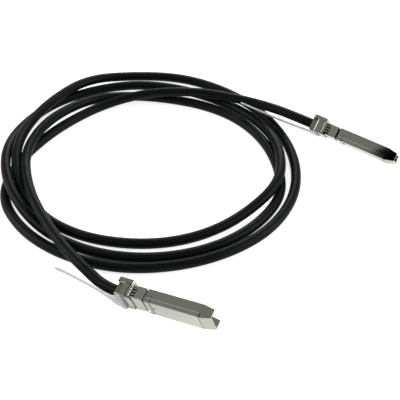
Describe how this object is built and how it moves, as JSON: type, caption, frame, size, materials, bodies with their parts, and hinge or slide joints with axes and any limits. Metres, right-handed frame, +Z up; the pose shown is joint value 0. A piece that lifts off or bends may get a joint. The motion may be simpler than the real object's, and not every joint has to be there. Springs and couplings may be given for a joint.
{
  "type": "direct attach copper cable",
  "caption": "Loose coil of round black copper cable with a pluggable metal-shelled transceiver plug and pale pull strap at each end.",
  "frame": {"origin": "on the surface that it lies on, under the middle of the box round the two plugs and their straps", "axes": "+Z up, +X from the end of one pull strap towards the other plug's nose, +Y away from the plug that lies in front of the coil"},
  "size_m": [0.2662, 0.2538, 0.0245],
  "materials": {
    "plated_casting": "satin nickel plate on a zinc casting",
    "stamped_steel": "satin nickel plate on stamped steel",
    "spring_steel": "bright plated spring sheet",
    "strap": "translucent flexible moulding",
    "copper": "plain",
    "card": "olive solder mask",
    "gold_plate": "gold plate",
    "chip": "moulded",
    "ceramic": "fired",
    "core_insulation": "smooth",
    "potting": "moulded",
    "jacket": "satin black jacket"
  },
  "bodies": {
    "cable_assembly": {"base_shell_a": "plated_casting", "rear_clamp_a": "plated_casting", "top_cover_a": "stamped_steel", "spring_collar_a": "spring_steel", "return_spring_a": "spring_steel", "clamp_screws_a": "stamped_steel", "crimp_ferrule_a": "copper", "paddle_card_a": "card", "contact_pads_a": "gold_plate", "memory_chip_a": "chip", "blocking_capacitors_a": "ceramic", "signal_pairs_a": "core_insulation", "potting_block_a": "potting", "base_shell_b": "plated_casting", "rear_clamp_b": "plated_casting", "top_cover_b": "stamped_steel", "spring_collar_b": "spring_steel", "return_spring_b": "spring_steel", "clamp_screws_b": "stamped_steel", "crimp_ferrule_b": "copper", "paddle_card_b": "card", "contact_pads_b": "gold_plate", "memory_chip_b": "chip", "blocking_capacitors_b": "ceramic", "signal_pairs_b": "core_insulation", "potting_block_b": "potting", "cable_lead_a": "jacket", "cable_lead_b": "jacket", "cable_coil": "jacket"},
    "release_a": {"release_slider_a": "spring_steel", "pull_strap_a": "strap", "strap_pins_a": "stamped_steel"},
    "release_b": {"release_slider_b": "spring_steel", "pull_strap_b": "strap", "strap_pins_b": "stamped_steel"}
  },
  "joints": [
    {"name": "release_slide_a", "type": "slide", "parent": "cable_assembly", "child": "release_a", "axis": [-0.8738, 0.4587, -0.1616], "range_m": [0, 0.0014], "stiffness_N_per_m": 400, "springref_m": -0.0006, "deforming": ["return_spring_a"]},
    {"name": "release_slide_b", "type": "slide", "parent": "cable_assembly", "child": "release_b", "axis": [-0.8527, 0.5164, 0.0785], "range_m": [0, 0.0014], "stiffness_N_per_m": 400, "springref_m": -0.0006, "deforming": ["return_spring_b"]}
  ]
}
